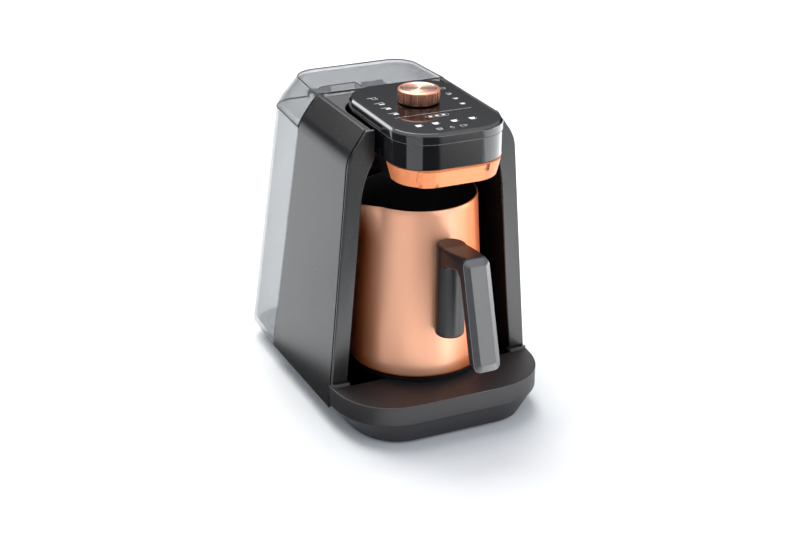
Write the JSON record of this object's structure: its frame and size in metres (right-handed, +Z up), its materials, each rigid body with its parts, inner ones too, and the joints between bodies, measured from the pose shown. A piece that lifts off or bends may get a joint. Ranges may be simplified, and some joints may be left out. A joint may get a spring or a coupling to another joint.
{
  "type": "electric turkish coffee maker",
  "caption": "Electric Turkish coffee maker with a copper pot on a heater plate, a brewing head with knob and touch panel, and a clear water tank behind.",
  "frame": {"origin": "on the table, below the centre of the bounding box of the whole machine", "axes": "+Z up, -Y towards the front where the pot goes in, +X to the right seen from the front"},
  "size_m": [0.16, 0.2718, 0.2401],
  "materials": {
    "base_black": "moulded, matte",
    "rubber_black": "matte rubber",
    "steel": "bright steel",
    "deck_charcoal": "charcoal, fine matte texture",
    "heater_aluminium": "turned aluminium",
    "element_steel": "heat tinted sheath",
    "sensor_ceramic": "ceramic and tin",
    "frame_grey": "dark grey satin",
    "liner_black": "black, soft gloss",
    "panel_grey": "dark grey satin",
    "inner_black": "moulded, matte",
    "cover_grey": "grey satin",
    "head_gloss": "piano black",
    "ring_gloss": "dark gloss with bright edges",
    "glass_black": "black glass with light printed icons",
    "mask_white": "white",
    "board_green": "solder mask",
    "band_copper": "satin copper",
    "sensor_dark": "dark lens",
    "encoder_grey": "grey",
    "knob_copper": "brushed copper, fine knurl",
    "disc_copper": "spun copper",
    "hose_silicone": "clear silicone",
    "pot_copper": "satin rose copper, dark inside",
    "pot_base_black": "black enamel",
    "handle_black": "soft touch",
    "cover_satin": "satin grey",
    "tank_clear": "clear smoke plastic",
    "lid_smoke": "dark smoke plastic",
    "catch_black": "black",
    "filter_white": "white",
    "valve_grey": "dark rubber"
  },
  "bodies": {
    "chassis": {"base_pan": "base_black", "feet": "rubber_black", "case_screws": "steel", "cord_gland": "rubber_black", "deck": "deck_charcoal", "heater_plate": "heater_aluminium", "plate_gasket": "rubber_black", "heating_element": "element_steel", "element_bracket": "steel", "thermal_sensor": "sensor_ceramic", "front_frame": "frame_grey", "bay_liner": "liner_black", "side_panel_left": "panel_grey", "side_panel_right": "panel_grey", "rear_wall": "inner_black", "top_cover": "cover_grey", "tank_shelf": "inner_black", "tank_socket": "inner_black", "tank_seal": "rubber_black", "head_housing": "head_gloss", "head_ring": "ring_gloss", "touch_glass": "glass_black", "light_mask": "mask_white", "control_board": "board_green", "copper_band": "band_copper", "head_floor": "inner_black", "water_nozzle": "steel", "froth_sensor": "sensor_dark", "encoder_body": "encoder_grey", "pump": "encoder_grey", "pump_foot": "rubber_black", "suction_hose": "hose_silicone", "delivery_hose": "hose_silicone", "power_board": "board_green"},
    "plunger": {"press_plunger": "encoder_grey"},
    "knob": {"encoder_shaft": "steel", "knob": "knob_copper", "knob_disc": "disc_copper"},
    "pot": {"pot_body": "pot_copper", "pot_base": "pot_base_black", "handle_bracket": "steel", "handle_core": "handle_black", "handle_screw": "steel", "grip_cover": "cover_satin"},
    "tank": {"tank": "tank_clear", "inlet_filter": "filter_white", "lid_pins": "steel"},
    "lid": {"tank_lid": "lid_smoke", "lid_catch": "catch_black"},
    "valve": {"valve_poppet": "valve_grey", "valve_spring": "steel"}
  },
  "joints": [
    {"name": "knob_press", "type": "slide", "parent": "chassis", "child": "plunger", "axis": [0, 0, -1], "range_m": [0, 0.0007], "stiffness_N_per_m": 900, "springref_m": -0.002},
    {"name": "knob_spin", "type": "hinge", "parent": "plunger", "child": "knob", "pos_m": [0, -0.02037, 0.225], "axis": [0, 0, 1], "continuous": true},
    {"name": "pot_out", "type": "slide", "parent": "chassis", "child": "pot", "axis": [0, -1, 0], "range_m": [0, 0.15]},
    {"name": "tank_lift", "type": "slide", "parent": "chassis", "child": "tank", "axis": [0, 0, 1], "range_m": [0, 0.22]},
    {"name": "lid_hinge", "type": "hinge", "parent": "tank", "child": "lid", "pos_m": [0, 0.11022, 0.2019], "axis": [-1, 0, 0], "range_deg": [0, 80]},
    {"name": "valve_close", "type": "slide", "parent": "tank", "child": "valve", "axis": [0, 0, -1], "range_m": [0, 0.0019], "deforming": ["valve_spring"]}
  ],
  "couplings": [
    {"joint": "valve_close", "follows": "tank_lift", "ratio": 0.0086}
  ]
}
